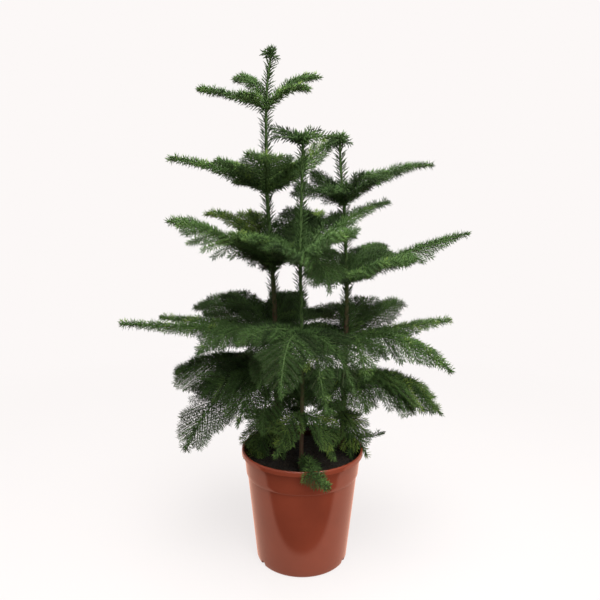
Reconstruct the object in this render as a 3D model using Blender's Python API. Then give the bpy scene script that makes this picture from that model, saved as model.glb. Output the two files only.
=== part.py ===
"""A young Norfolk Island pine: three stems growing together in one plastic nursery pot.

Metres, +Z up, the camera side is -Y. The pot's underside rests on z = 0, centred on the origin.
Each tier of flat, tapering foliage masses stands round its stem, and the longest masses hang on
a bare limb of their own. Azimuths are in degrees from +X, anticlockwise seen from above.
"""

import math
import random

import bmesh
import bpy
from mathutils import Matrix, Vector

GAP = 0.0003  # air left between touching pieces

# Pot: 21 cm across the lip, 20 cm tall, tapering to the foot.
POT_HEIGHT = 0.200
LIP_RADIUS = 0.1065
COLLAR_TOP_RADIUS = 0.1015
COLLAR_FOOT_RADIUS = 0.0985
COLLAR_DEPTH = 0.040
COLLAR_STEP = 0.003
LIP_DEPTH = 0.013
BODY_TOP_RADIUS = 0.0965
FOOT_RADIUS = 0.0800
FOOT_ROUNDING = 0.0035
POT_WALL = 0.0022
POT_FLOOR = 0.0040
POT_SIDES = 48
NOTCH_COUNT = 4
NOTCH_FIRST = -9.0
NOTCH_STEP = 70.0
NOTCH_WIDTH = 0.011
NOTCH_HEIGHT = 0.0045

# Soil, filled to a finger's width under the lip.
SOIL_TOP = 0.185
SOIL_GAP = 0.0004

# Stems: height, x and y of a few stations, then the radius at the foot and at the tip.
STEMS = {
    "left": {
        "stations": (
            (SOIL_TOP + GAP, -0.044, 0.032),
            (0.460, -0.051, 0.030),
            (0.640, -0.0635, 0.028),
            (0.775, -0.0645, 0.026),
            (0.861, -0.0540, 0.024),
        ),
        "foot_radius": 0.0068,
        "tip_radius": 0.0018,
    },
    "middle": {
        "stations": (
            (SOIL_TOP + GAP, -0.002, -0.053),
            (0.350, 0.000, -0.052),
            (0.525, -0.0055, -0.050),
            (0.650, -0.0035, -0.048),
            (0.716, -0.0020, -0.048),
        ),
        "foot_radius": 0.0060,
        "tip_radius": 0.0020,
    },
    "right": {
        "stations": (
            (SOIL_TOP + GAP, 0.072, 0.030),
            (0.340, 0.0755, 0.030),
            (0.470, 0.0765, 0.028),
            (0.620, 0.0690, 0.026),
            (0.728, 0.0635, 0.024),
        ),
        "foot_radius": 0.0062,
        "tip_radius": 0.0020,
    },
}
STEM_SIDES = 10
STEM_RINGS = 25
ROOT_FLARE = 1.45
FLARE_HEIGHT = 0.020

# Foliage masses, named for where they point: tier height, azimuth, reach, rise at the tip,
# arch above the straight line, half width, droop of the sides, depth, and length of bare limb.
# The order is also the order of growth: a later mass stops short of the earlier ones.
MASSES = {
    "left": {
        "tier1_left": (0.778, 185, 0.111, 0.029, 0.014, 0.017, 0.003, 0.015, 0.0),
        "tier1_right": (0.778, 15, 0.088, 0.054, 0.012, 0.018, 0.004, 0.015, 0.0),
        "tier1_back": (0.778, 120, 0.124, 0.075, 0.012, 0.017, 0.004, 0.014, 0.0),
        "tier1_front": (0.778, 238, 0.078, 0.016, 0.010, 0.020, 0.004, 0.014, 0.0),
        "tier2_left": (0.642, 182, 0.169, 0.056, 0.016, 0.026, 0.005, 0.020, 0.040),
        "tier2_right": (0.642, 12, 0.124, 0.094, 0.008, 0.024, 0.005, 0.022, 0.0),
        "tier2_back": (0.642, 97, 0.155, 0.078, 0.012, 0.066, 0.008, 0.018, 0.0),
        "tier2_front": (0.642, 272, 0.125, 0.040, 0.014, 0.040, 0.008, 0.018, 0.0),
        "tier3_left": (0.508, 202, 0.177, 0.092, 0.014, 0.042, 0.016, 0.022, 0.045),
        "tier3_back_left": (0.508, 150, 0.150, 0.104, 0.026, 0.034, 0.010, 0.020, 0.035),
        "tier3_back": (0.508, 75, 0.165, 0.100, 0.014, 0.062, 0.012, 0.020, 0.0),
        "tier3_front": (0.508, 254, 0.140, 0.052, 0.020, 0.034, 0.014, 0.020, 0.0),
        "tier4_left": (0.396, 188, 0.267, 0.028, 0.008, 0.036, 0.012, 0.024, 0.050),
        "tier4_back_left": (0.396, 140, 0.234, 0.046, 0.022, 0.056, 0.012, 0.020, 0.0),
        "tier4_front_left": (0.396, 224, 0.172, -0.010, 0.022, 0.040, 0.020, 0.022, 0.0),
        "tier4_back": (0.396, 72, 0.225, 0.038, 0.022, 0.066, 0.012, 0.018, 0.0),
        "tier4_front": (0.396, 264, 0.165, -0.050, 0.020, 0.034, 0.020, 0.020, 0.0),
        "tier5_left": (0.320, 172, 0.194, -0.006, 0.028, 0.050, 0.026, 0.020, 0.0),
        "tier5_front_left": (0.320, 219, 0.196, -0.096, 0.040, 0.062, 0.016, 0.018, 0.0),
        "tier5_front": (0.320, 258, 0.125, -0.062, 0.024, 0.036, 0.014, 0.018, 0.0),
        "tier5_back": (0.320, 110, 0.215, -0.010, 0.030, 0.068, 0.018, 0.018, 0.0),
        "tier6_left": (0.256, 206, 0.090, -0.062, 0.034, 0.030, 0.008, 0.014, 0.0),
    },
    "middle": {
        "tier2_right": (0.525, 22, 0.164, 0.103, 0.010, 0.020, 0.004, 0.018, 0.035),
        "tier2_front_right": (0.525, 316, 0.112, 0.052, 0.014, 0.042, 0.018, 0.022, 0.0),
        "tier2_left": (0.525, 228, 0.075, 0.004, 0.008, 0.030, 0.010, 0.018, 0.0),
        "tier2_back": (0.525, 78, 0.155, 0.086, 0.010, 0.032, 0.008, 0.016, 0.0),
        "tier3_front": (0.408, 266, 0.145, -0.074, 0.036, 0.040, 0.018, 0.022, 0.0),
        "tier3_front_right": (0.408, 312, 0.120, -0.080, 0.034, 0.036, 0.016, 0.020, 0.0),
        "tier3_left": (0.408, 214, 0.120, 0.004, 0.022, 0.036, 0.014, 0.018, 0.0),
        "tier4_front": (0.300, 284, 0.088, -0.108, 0.034, 0.024, 0.006, 0.014, 0.0),
    },
    "right": {
        "tier1_right": (0.622, 0, 0.152, 0.072, 0.012, 0.022, 0.004, 0.020, 0.040),
        "tier1_front_right": (0.622, 322, 0.080, 0.052, 0.010, 0.026, 0.006, 0.020, 0.0),
        "tier1_left": (0.622, 176, 0.092, 0.032, 0.014, 0.032, 0.004, 0.020, 0.0),
        "tier2_right": (0.490, 2, 0.216, 0.088, 0.004, 0.028, 0.010, 0.024, 0.055),
        "tier2_front_right": (0.490, 322, 0.125, 0.066, 0.018, 0.036, 0.010, 0.022, 0.0),
        "tier2_back": (0.490, 82, 0.175, 0.066, 0.018, 0.064, 0.010, 0.020, 0.0),
        "tier2_front_left": (0.490, 236, 0.092, 0.006, 0.012, 0.032, 0.012, 0.018, 0.0),
        "tier3_right": (0.386, 4, 0.190, 0.042, 0.004, 0.022, 0.008, 0.020, 0.050),
        "tier3_back_right": (0.386, 52, 0.210, 0.050, 0.018, 0.054, 0.010, 0.020, 0.0),
        "tier3_front_right": (0.386, 333, 0.190, -0.036, 0.030, 0.036, 0.018, 0.022, 0.0),
        "tier3_front": (0.386, 282, 0.120, -0.040, 0.022, 0.040, 0.016, 0.018, 0.0),
        "tier4_right": (0.290, 352, 0.174, -0.020, 0.034, 0.054, 0.030, 0.018, 0.040),
        "tier4_front_right": (0.290, 318, 0.090, -0.082, 0.036, 0.032, 0.010, 0.016, 0.0),
    },
}
MASS_RINGS = 8
MASS_START_HALF_WIDTH = 0.0030
MASS_START_DEPTH = 0.0060
MASS_SPREAD = 0.62  # how fast a mass widens away from its stem
MASS_WIDEST_AT = 0.45
RAGGEDNESS = 0.22
CLEARANCE = 0.0035
LIMB_FOOT_RADIUS = 0.0032
LIMB_TIP_RADIUS = 0.0022
LIMB_SIDES = 8
LIMB_RINGS = 4

# Tufts at the three growing tips: half length, half width, height, tilt and azimuth.
TUFTS = {
    "left": (0.0135, 0.0110, 0.0170, 0.0, 0.0),
    "middle": (0.0520, 0.0160, 0.0180, 0.0, 172.0),
    "right": (0.0180, 0.0140, 0.0240, 0.0, 10.0),
}
TUFT_RINGS = 7
TUFT_SIDES = 8

MATERIALS = {
    "pot": ("terracotta_plastic", (0.262, 0.072, 0.040), 0.30),
    "soil": ("potting_soil", (0.011, 0.009, 0.007), 0.95),
    "stem": ("stem_bark", (0.070, 0.062, 0.026), 0.85),
    "foliage": ("pine_foliage", (0.046, 0.088, 0.022), 0.60),
}


def clear_scene():
    for obj in list(bpy.data.objects):
        bpy.data.objects.remove(obj, do_unlink=True)


def make_material(kind):
    name, colour, roughness = MATERIALS[kind]
    material = bpy.data.materials.get(name)
    if material is None:
        material = bpy.data.materials.new(name)
        material.use_nodes = True
        shader = material.node_tree.nodes["Principled BSDF"]
        shader.inputs["Base Color"].default_value = (*colour, 1.0)
        shader.inputs["Roughness"].default_value = roughness
        shader.inputs["Metallic"].default_value = 0.0
        material.diffuse_color = (*colour, 1.0)
    return material


def add_object(name, mesh, kind, smooth=False):
    mesh.materials.append(make_material(kind))
    for face in mesh.polygons:
        face.use_smooth = smooth
    obj = bpy.data.objects.new(name, mesh)
    bpy.context.scene.collection.objects.link(obj)
    return obj


def loft(name, rings, kind, smooth=False, tip=None):
    """A closed solid through rings of points, drawn to the tip if one is given."""
    bm = bmesh.new()
    layers = [[bm.verts.new(point) for point in ring] for ring in rings]
    sides = len(layers[0])
    for lower, upper in zip(layers, layers[1:]):
        for side in range(sides):
            after = (side + 1) % sides
            bm.faces.new((lower[side], lower[after], upper[after], upper[side]))
    bm.faces.new(layers[0])
    if tip is None:
        bm.faces.new(layers[-1])
    else:
        point = bm.verts.new(tip)
        for side in range(sides):
            bm.faces.new((layers[-1][side], layers[-1][(side + 1) % sides], point))
    bmesh.ops.triangulate(bm, faces=bm.faces[:])
    bmesh.ops.recalc_face_normals(bm, faces=bm.faces[:])
    mesh = bpy.data.meshes.new(name)
    bm.to_mesh(mesh)
    bm.free()
    return add_object(name, mesh, kind, smooth)


def turned(name, profile, kind, sides):
    """A solid of revolution from a closed (radius, height) profile whose ends lie on the axis."""
    bm = bmesh.new()
    verts = [bm.verts.new((radius, 0.0, height)) for radius, height in profile]
    edges = [bm.edges.new(pair) for pair in zip(verts, verts[1:])]
    bmesh.ops.spin(
        bm,
        geom=verts + edges,
        cent=(0, 0, 0),
        axis=(0, 0, 1),
        angle=2 * math.pi,
        steps=sides,
        use_merge=True,
    )
    bmesh.ops.remove_doubles(bm, verts=bm.verts[:], dist=1e-6)
    bmesh.ops.recalc_face_normals(bm, faces=bm.faces[:])
    mesh = bpy.data.meshes.new(name)
    bm.to_mesh(mesh)
    bm.free()
    return add_object(name, mesh, kind, smooth=True)


def pot_wall_radius(height):
    """Outer radius of the pot's wall below the collar."""
    share = height / (POT_HEIGHT - COLLAR_DEPTH)
    return FOOT_RADIUS + (BODY_TOP_RADIUS - FOOT_RADIUS) * share


def build_pot():
    """Thin wall with a rounded lip, a collar that steps out, and drain notches at the foot."""
    collar_foot = POT_HEIGHT - COLLAR_DEPTH
    lip = LIP_RADIUS - COLLAR_TOP_RADIUS
    profile = [
        (0.0, 0.0),
        (FOOT_RADIUS - FOOT_ROUNDING, 0.0),
        (pot_wall_radius(FOOT_ROUNDING), FOOT_ROUNDING),
        (pot_wall_radius(collar_foot), collar_foot),
        (COLLAR_FOOT_RADIUS, collar_foot + 0.001),
        (COLLAR_TOP_RADIUS, POT_HEIGHT - LIP_DEPTH),
        (LIP_RADIUS - 0.25 * lip, POT_HEIGHT - 1.6 * lip),
        (LIP_RADIUS, POT_HEIGHT - 0.8 * lip),
        (LIP_RADIUS - 0.15 * lip, POT_HEIGHT - 0.25 * lip),
        (LIP_RADIUS - 0.5 * lip, POT_HEIGHT),
        (LIP_RADIUS - 0.8 * lip, POT_HEIGHT - 0.3 * lip),
        (COLLAR_TOP_RADIUS - 0.5 * POT_WALL, POT_HEIGHT - 1.2 * lip),
        (COLLAR_TOP_RADIUS - POT_WALL, POT_HEIGHT - LIP_DEPTH),
        (COLLAR_FOOT_RADIUS - POT_WALL, collar_foot),
        (pot_wall_radius(collar_foot) - POT_WALL, collar_foot - COLLAR_STEP),
        (pot_wall_radius(POT_FLOOR) - POT_WALL, POT_FLOOR),
        (0.0, POT_FLOOR),
    ]
    pot = turned("pot", profile, "pot", POT_SIDES)
    for index in range(NOTCH_COUNT):
        angle = math.radians(NOTCH_FIRST + index * NOTCH_STEP)
        bm = bmesh.new()
        bmesh.ops.create_cube(bm, size=1.0)
        mesh = bpy.data.meshes.new("notch_cutter")
        bm.to_mesh(mesh)
        bm.free()
        cutter = bpy.data.objects.new(f"notch_cutter_{index}", mesh)
        bpy.context.scene.collection.objects.link(cutter)
        cutter.scale = (0.012, NOTCH_WIDTH, 2 * NOTCH_HEIGHT)
        cutter.rotation_euler = (0, 0, angle)
        reach = FOOT_RADIUS + 0.001
        cutter.location = (reach * math.cos(angle), reach * math.sin(angle), 0)
        cutter.hide_render = True
        cutter.display_type = "WIRE"
        cut = pot.modifiers.new(f"notch_{index}", "BOOLEAN")
        cut.operation = "DIFFERENCE"
        cut.solver = "EXACT"
        cut.object = cutter
    return pot


def build_soil():
    """The root ball: fills the pot up to the soil line, a hair inside its wall."""
    collar_foot = POT_HEIGHT - COLLAR_DEPTH
    inset = POT_WALL + SOIL_GAP
    top_share = (SOIL_TOP - collar_foot) / (COLLAR_DEPTH - LIP_DEPTH)
    top_radius = COLLAR_FOOT_RADIUS + (COLLAR_TOP_RADIUS - COLLAR_FOOT_RADIUS) * top_share
    floor = POT_FLOOR + GAP
    profile = [
        (0.0, floor),
        (pot_wall_radius(floor) - inset, floor),
        (pot_wall_radius(collar_foot) - inset, collar_foot - COLLAR_STEP),
        (COLLAR_FOOT_RADIUS - inset, collar_foot),
        (top_radius - inset, SOIL_TOP),
        (0.0, SOIL_TOP),
    ]
    return turned("soil", profile, "soil", POT_SIDES)


def stem_axis(side, height):
    """Centre of a stem at a height, by straight runs between its stations."""
    stations = STEMS[side]["stations"]
    height = min(max(height, stations[0][0]), stations[-1][0])
    for (z0, x0, y0), (z1, x1, y1) in zip(stations, stations[1:]):
        if height <= z1:
            share = (height - z0) / (z1 - z0)
            break
    return Vector((x0 + (x1 - x0) * share, y0 + (y1 - y0) * share, height))


def stem_radius(side, height):
    """Radius of a stem: an even taper with a short flare where it leaves the soil."""
    stem = STEMS[side]
    low, high = stem["stations"][0][0], stem["stations"][-1][0]
    share = min(max((height - low) / (high - low), 0.0), 1.0)
    radius = stem["foot_radius"] + (stem["tip_radius"] - stem["foot_radius"]) * share**0.9
    flare = max(0.0, 1 - (height - low) / FLARE_HEIGHT)
    return radius * (1 + (ROOT_FLARE - 1) * flare**2)


def smooth_axis(side, height):
    """The stem's centre with the corners between its straight runs eased."""
    reach = 0.025
    samples = [stem_axis(side, height + reach * step) for step in (-1.0, -0.5, 0.0, 0.5, 1.0)]
    centre = sum(samples, Vector()) / len(samples)
    return Vector((centre.x, centre.y, height))


def build_stem(side):
    stations = STEMS[side]["stations"]
    low, high = stations[0][0], stations[-1][0]
    heights = [low, low + 0.4 * FLARE_HEIGHT, low + FLARE_HEIGHT]
    step = (high - heights[-1]) / (STEM_RINGS - len(heights))
    heights += [heights[-1] + step * (index + 1) for index in range(STEM_RINGS - len(heights))]
    rings = []
    for height in heights:
        centre = smooth_axis(side, height)
        radius = stem_radius(side, height)
        rings.append(
            [
                centre + Matrix.Rotation(2 * math.pi * turn / STEM_SIDES, 3, "Z") @ Vector((radius, 0, 0))
                for turn in range(STEM_SIDES)
            ]
        )
    return loft(f"stem_{side}", rings, "stem", smooth=True)


class Mass:
    """A flat, tapering, drooping mass of foliage along one bough."""

    def __init__(self, side, name, sizes):
        self.side, self.name = side, name
        tier, azimuth, self.reach, self.rise, self.arch = sizes[:5]
        self.half_width, self.droop, self.depth, self.limb = sizes[5:]
        self.hub = smooth_axis(side, tier)
        angle = math.radians(azimuth)
        self.along = Vector((math.cos(angle), math.sin(angle), 0))
        self.across = Vector((-math.sin(angle), math.cos(angle), 0))
        self.tier = tier
        self.rim = stem_radius(side, tier) + 2 * GAP
        self.start = self.rim + self.limb
        self.spread = self.room_beside(azimuth)
        seed = random.Random(f"{side} {name}")
        steps = [
            self.start + (self.reach - self.start) * (ring / MASS_RINGS) ** 0.85
            for ring in range(MASS_RINGS)
        ]
        self.stations = steps
        self.widths = [
            [self.plain_width(run, hand) * (1 + seed.uniform(-RAGGEDNESS, 0.0)) for run in steps]
            for hand in range(2)
        ]
        self.lift = [seed.uniform(-0.12, 0.12) for _ in steps]

    def room_beside(self, azimuth):
        """How fast each edge may leave the axis before it meets the next mass of its tier."""
        room = [MASS_SPREAD, MASS_SPREAD]
        for sizes in MASSES[self.side].values():
            turn = (sizes[1] - azimuth) % 360
            if sizes[0] != self.tier or turn == 0:
                continue
            hand = 0 if turn < 180 else 1
            half = math.radians(min(turn, 360 - turn)) / 2
            room[hand] = min(room[hand], math.tan(half))
        return room

    def share(self, run):
        return (run - self.rim) / (self.reach - self.rim)

    def height(self, run):
        share = self.share(run)
        return self.hub.z + self.rise * share + self.arch * 4 * share * (1 - share)

    def plain_width(self, run, hand):
        """Half width: narrow at the stem, widest short of the middle, and pointed at the tip."""
        share = (run - self.start) / (self.reach - self.start)
        leaf = math.sin(math.pi * max(share, 0.0) ** (math.log(0.5) / math.log(MASS_WIDEST_AT)))
        leaf = max(leaf, 0.02) ** 0.7 * self.half_width
        return min(leaf + MASS_START_HALF_WIDTH, self.spread[hand] * run - 2 * GAP)

    def plain_depth(self, run):
        share = (run - self.start) / (self.reach - self.start)
        swell = math.sin(math.pi * min(max(share, 0.02), 0.98) ** 0.7) ** 0.5
        return max(self.depth * swell, MASS_START_DEPTH)

    def width_at(self, run, hand):
        """Half width on one hand after trimming, between the mass's own stations."""
        widths = self.widths[hand]
        if run <= self.stations[0]:
            return widths[0]
        for index in range(len(self.stations) - 1):
            if run <= self.stations[index + 1]:
                gap = self.stations[index + 1] - self.stations[index]
                share = (run - self.stations[index]) / gap
                return widths[index] + (widths[index + 1] - widths[index]) * share
        left = (self.reach - run) / (self.reach - self.stations[-1])
        return widths[-1] * max(left, 0.0)

    def span(self, point, margin):
        """Lowest and highest z that the mass takes over a point in plan, or None beside it."""
        offset = point - self.hub
        run = offset.dot(self.along)
        if not self.start - margin <= run <= self.reach + margin:
            return None
        lateral = offset.dot(self.across)
        run = min(max(run, self.start), self.reach)
        width = self.width_at(run, 0 if lateral > 0 else 1)
        if abs(lateral) > width + margin:
            return None
        middle = self.height(run) - self.droop * min(abs(lateral) / max(width, 1e-4), 1.0) ** 2
        half = 0.5 * self.plain_depth(run) + margin
        return middle - half, middle + half

    def blocked(self, run, lateral, others):
        """Whether this mass would come too near another piece over a point of its own plan."""
        point = self.hub + self.along * run + self.across * lateral
        width = max(self.width_at(run, 0 if lateral > 0 else 1), 1e-4)
        middle = self.height(run) - self.droop * min(abs(lateral) / width, 1.0) ** 2
        low = middle - 0.5 * self.plain_depth(run)
        high = middle + 0.5 * self.plain_depth(run)
        radius = math.hypot(point.x, point.y)
        over_rim = COLLAR_FOOT_RADIUS - 2 * POT_WALL < radius < LIP_RADIUS + CLEARANCE
        if low < SOIL_TOP + CLEARANCE and radius < LIP_RADIUS:
            return True
        if over_rim and low < POT_HEIGHT + CLEARANCE:
            return True
        for side in STEMS:
            axis = smooth_axis(side, min(middle, STEMS[side]["stations"][-1][0]))
            near = math.hypot(point.x - axis.x, point.y - axis.y)
            tall_enough = low < STEMS[side]["stations"][-1][0] + CLEARANCE
            if side != self.side and tall_enough and near < stem_radius(side, middle) + CLEARANCE:
                return True
        for other in others:
            found = other.span(point, CLEARANCE)
            if found and low < found[1] and found[0] < high:
                return True
        return False

    def trim(self, others):
        """Draws the outline in wherever an earlier mass, a stem or the pot is in the way."""
        fine = 5
        near = [
            other
            for other in others
            if (other.side, other.tier) != (self.side, self.tier)
            and (other.hub - self.hub).length < other.reach + self.reach
        ]
        for index, run in enumerate(self.stations):
            back = self.stations[index - 1] if index else run
            ahead = self.stations[index + 1] if index + 1 < len(self.stations) else self.reach
            runs = [back + (ahead - back) * step / fine for step in range(fine + 1)]
            for hand, sign in enumerate((1, -1)):
                width = self.widths[hand][index]
                steps = max(4, int(width / 0.002))
                for step in range(steps + 1):
                    lateral = sign * width * step / steps
                    if any(self.blocked(each, lateral, near) for each in runs):
                        break
                else:
                    continue
                self.widths[hand][index] = max(0.0, width * (step - 1) / steps)

    def cut_short(self):
        """Ends the mass where trimming has left it too thin to stand."""
        least = 0.5 * MASS_START_HALF_WIDTH
        for index in range(1, len(self.stations)):
            if min(self.widths[0][index], self.widths[1][index]) < least:
                del self.stations[index:]
                for widths in self.widths:
                    del widths[index:]
                del self.lift[index:]
                return

    def ring(self, index):
        """Eight points round the mass at one station."""
        run = self.stations[index]
        centre = self.hub + self.along * run
        centre.z = self.height(run)
        left, right = self.widths[0][index], self.widths[1][index]
        depth = self.plain_depth(run)
        points = []
        for share, level in (
            (1.0, 0.0),
            (0.55, 0.42),
            (0.0, 0.5),
            (-0.55, 0.42),
            (-1.0, 0.0),
            (-0.55, -0.38),
            (0.0, -0.5),
            (0.55, -0.38),
        ):
            width = left if share > 0 else right
            lift = 1 + self.lift[index] if level > 0 else 1 - self.lift[index]
            fall = self.droop * share**2 * (1 if index else 0)
            points.append(
                centre + self.across * (share * width) + Vector((0, 0, depth * level * lift - fall))
            )
        return points

    def tip(self):
        """The point the mass is drawn to: its full reach, or just past where it was cut short."""
        run = self.reach
        if len(self.stations) < MASS_RINGS:
            run = self.stations[-1] + 0.35 * (self.stations[-1] - self.stations[-2])
        centre = self.hub + self.along * run
        centre.z = self.height(run)
        return centre

    def build(self):
        rings = [self.ring(index) for index in range(len(self.stations))]
        return loft(f"foliage_{self.side}_{self.name}", rings, "foliage", tip=self.tip())

    def build_limb(self):
        """The bare, tapering bough from the stem to the mass."""
        rings = []
        length = self.limb - 2 * GAP
        for index in range(LIMB_RINGS + 1):
            share = index / LIMB_RINGS
            run = self.rim + length * share
            radius = LIMB_FOOT_RADIUS + (LIMB_TIP_RADIUS - LIMB_FOOT_RADIUS) * share
            radius = min(radius, min(self.spread) * run * 0.9 - GAP)
            centre = self.hub + self.along * run
            centre.z = self.height(run)
            rings.append(
                [
                    centre
                    + self.across * (radius * math.cos(2 * math.pi * turn / LIMB_SIDES))
                    + Vector((0, 0, radius * math.sin(2 * math.pi * turn / LIMB_SIDES)))
                    for turn in range(LIMB_SIDES)
                ]
            )
        return loft(f"bough_{self.side}_{self.name}", rings, "stem", smooth=True)


def build_tuft(side):
    """The lobed cluster of young shoots that caps a stem."""
    half_length, half_width, height, tilt, azimuth = TUFTS[side]
    top = STEMS[side]["stations"][-1]
    seed = random.Random(f"tuft {side}")
    turn = Matrix.Rotation(math.radians(azimuth), 3, "Z")
    base = Vector((smooth_axis(side, top[0]).x, smooth_axis(side, top[0]).y, top[0] + GAP))
    rings = []
    for ring in range(TUFT_RINGS):
        share = ring / (TUFT_RINGS - 1)
        swell = math.sin(math.pi * (0.08 + 0.84 * share)) ** 0.6
        along = (2 * share - 1) * half_length
        width = half_width * swell * (1 + seed.uniform(-RAGGEDNESS, RAGGEDNESS))
        depth = height * swell * (1 + seed.uniform(-RAGGEDNESS, 0))
        lift = tilt * along
        rings.append(
            [
                base
                + turn
                @ Vector(
                    (
                        along,
                        width * math.cos(2 * math.pi * step / TUFT_SIDES),
                        lift + 0.5 * depth * (1 + math.sin(2 * math.pi * step / TUFT_SIDES)),
                    )
                )
                for step in range(TUFT_SIDES)
            ]
        )
    return loft(f"foliage_{side}_tip", rings, "foliage")


def main():
    clear_scene()
    build_pot()
    build_soil()
    for side in STEMS:
        build_stem(side)
        build_tuft(side)
    grown = []
    for side, tiers in MASSES.items():
        for name, sizes in tiers.items():
            mass = Mass(side, name, sizes)
            mass.trim(grown)
            mass.cut_short()
            mass.build()
            if mass.limb:
                mass.build_limb()
            grown.append(mass)


main()
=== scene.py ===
"""A young Norfolk Island pine: three slim stems in one nursery pot.

The file is laid out as an add-on. Each piece has an operator of its own, and the panel in the
3D view's sidebar lists them. Metres, +Z up, the pot's underside on z = 0, the front towards -Y.
Azimuths are in degrees from +X, anticlockwise seen from above.
"""

import itertools
import math
from collections import namedtuple
from functools import partial

import bmesh
import bpy
import numpy as np
from bpy.props import FloatProperty, FloatVectorProperty, IntProperty, PointerProperty
from mathutils import Matrix, Vector, noise


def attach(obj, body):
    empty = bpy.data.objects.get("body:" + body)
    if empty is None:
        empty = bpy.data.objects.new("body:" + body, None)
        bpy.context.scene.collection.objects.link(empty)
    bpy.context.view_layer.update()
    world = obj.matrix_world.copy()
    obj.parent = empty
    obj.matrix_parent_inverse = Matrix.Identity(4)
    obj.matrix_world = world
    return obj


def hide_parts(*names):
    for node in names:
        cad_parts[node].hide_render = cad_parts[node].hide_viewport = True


bl_info = {
    "name": "Norfolk Island Pine",
    "version": (1, 0, 0),
    "blender": (4, 5, 0),
    "location": "View3D > Sidebar > Pine",
    "description": "Builds a potted Norfolk Island pine with three stems",
    "category": "Add Mesh",
}

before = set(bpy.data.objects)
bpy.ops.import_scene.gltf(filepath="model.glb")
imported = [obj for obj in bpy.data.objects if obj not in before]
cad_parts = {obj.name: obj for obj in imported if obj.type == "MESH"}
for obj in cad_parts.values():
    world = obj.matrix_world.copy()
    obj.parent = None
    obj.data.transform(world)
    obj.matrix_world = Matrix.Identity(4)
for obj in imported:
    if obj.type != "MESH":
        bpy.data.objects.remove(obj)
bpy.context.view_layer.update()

SIDES = ("left", "middle", "right")

# Stem stations: height, x and y, from the soil to the growing tip.
STEMS = {
    "left": (
        (0.1850, -0.044, 0.032), (0.460, -0.051, 0.030), (0.640, -0.0635, 0.028),
        (0.775, -0.0645, 0.026), (0.835, -0.0615, 0.025), (0.861, -0.0540, 0.024),
    ),
    "middle": (
        (0.1850, -0.002, -0.053), (0.350, 0.000, -0.052), (0.525, -0.0055, -0.050),
        (0.650, -0.0035, -0.048), (0.716, -0.0020, -0.048),
    ),
    "right": (
        (0.1850, 0.072, 0.030), (0.340, 0.0755, 0.030), (0.470, 0.0765, 0.028),
        (0.620, 0.0690, 0.026), (0.665, 0.0630, 0.025), (0.728, 0.0590, 0.024),
    ),
}
# Radii at the soil and at the growing tip.
STEM_RADII = {"left": (0.0060, 0.0016), "middle": (0.0038, 0.0018), "right": (0.0056, 0.0018)}
# Below the first height a stem has shed its needles, and below the second its bark is brown.
BARE_BELOW = {"left": (0.39, 0.46), "middle": (0.30, 0.30), "right": (0.37, 0.44)}

# A bough: azimuth, reach, rise at the tip, arch above the straight line, half width of the frond,
# droop of its sides, roll, where it is widest, taper beyond that and freshness from 0 to 1. Roll,
# in degrees, lifts the edge that faces away. A high taper draws out a long thin tip. A freshness
# below zero marks an old, open frond: it is as fresh as the number without its sign. Freshness
# also sets the needles' tone, and its numbers paint light and shade: a lower one darkens a frond as
# painted shade, a higher one lightens it as painted light.
Bough = namedtuple("Bough", "azimuth reach rise arch half_width droop roll widest taper fresh")

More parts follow.
